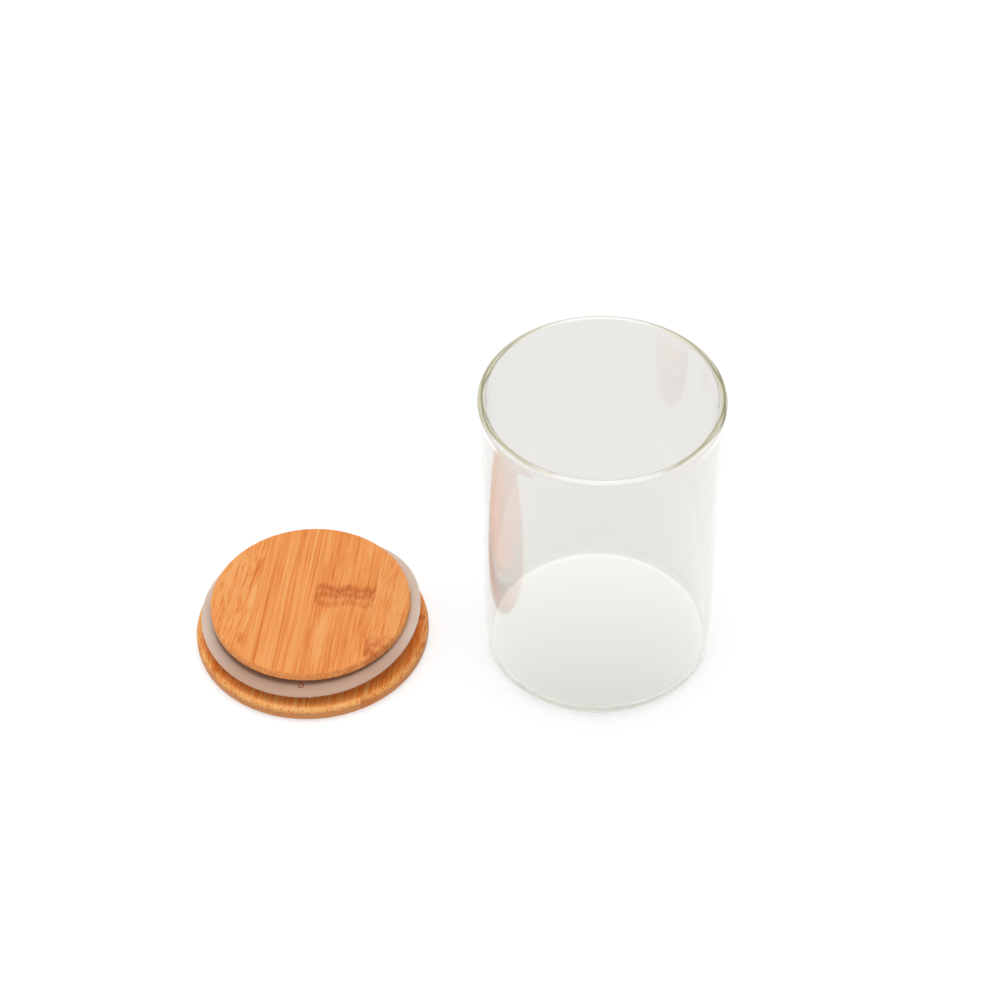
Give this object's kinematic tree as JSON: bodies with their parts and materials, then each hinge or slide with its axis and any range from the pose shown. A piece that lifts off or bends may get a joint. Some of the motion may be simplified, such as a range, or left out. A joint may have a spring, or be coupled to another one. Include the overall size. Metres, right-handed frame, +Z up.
{
  "type": "sourdough starter jar",
  "caption": "Straight-walled glass jar with a fire-polished rim, open, beside its turned bamboo plug lid with a lipped silicone ring, for feeding and keeping a sourdough starter.",
  "frame": {"origin": "centre of the jar's base, on the table", "axes": "+Z up through the jar's mouth; +X from the lid towards the jar, to the right in the picture; +Y away from the viewer"},
  "size_m": [0.1935, 0.0884, 0.1205],
  "materials": {
    "glass": "clear, polished, faint olive tint in thick parts",
    "bamboo_face": "flat-pressed bamboo, fine sanded, satin",
    "bamboo_core": "flat-pressed bamboo, turned, satin",
    "bamboo_plug": "flat-pressed bamboo, fine sanded, satin",
    "silicone": "translucent, soft, matte"
  },
  "bodies": {
    "jar": {"glass_jar": "glass"},
    "lid": {"face_strip_1": "bamboo_face", "face_strip_2": "bamboo_face", "face_strip_3": "bamboo_face", "face_strip_4": "bamboo_face", "core_strip_1": "bamboo_core", "core_strip_2": "bamboo_core", "core_strip_3": "bamboo_core", "plug_strip_1": "bamboo_plug", "plug_strip_2": "bamboo_plug", "plug_strip_3": "bamboo_plug", "plug_strip_4": "bamboo_plug", "silicone_seal": "silicone"}
  },
  "joints": [
    {"name": "lid_lift", "type": "slide", "parent": "jar", "child": "lid", "axis": [0, 0, 1], "range_m": [0, 0.14]}
  ]
}
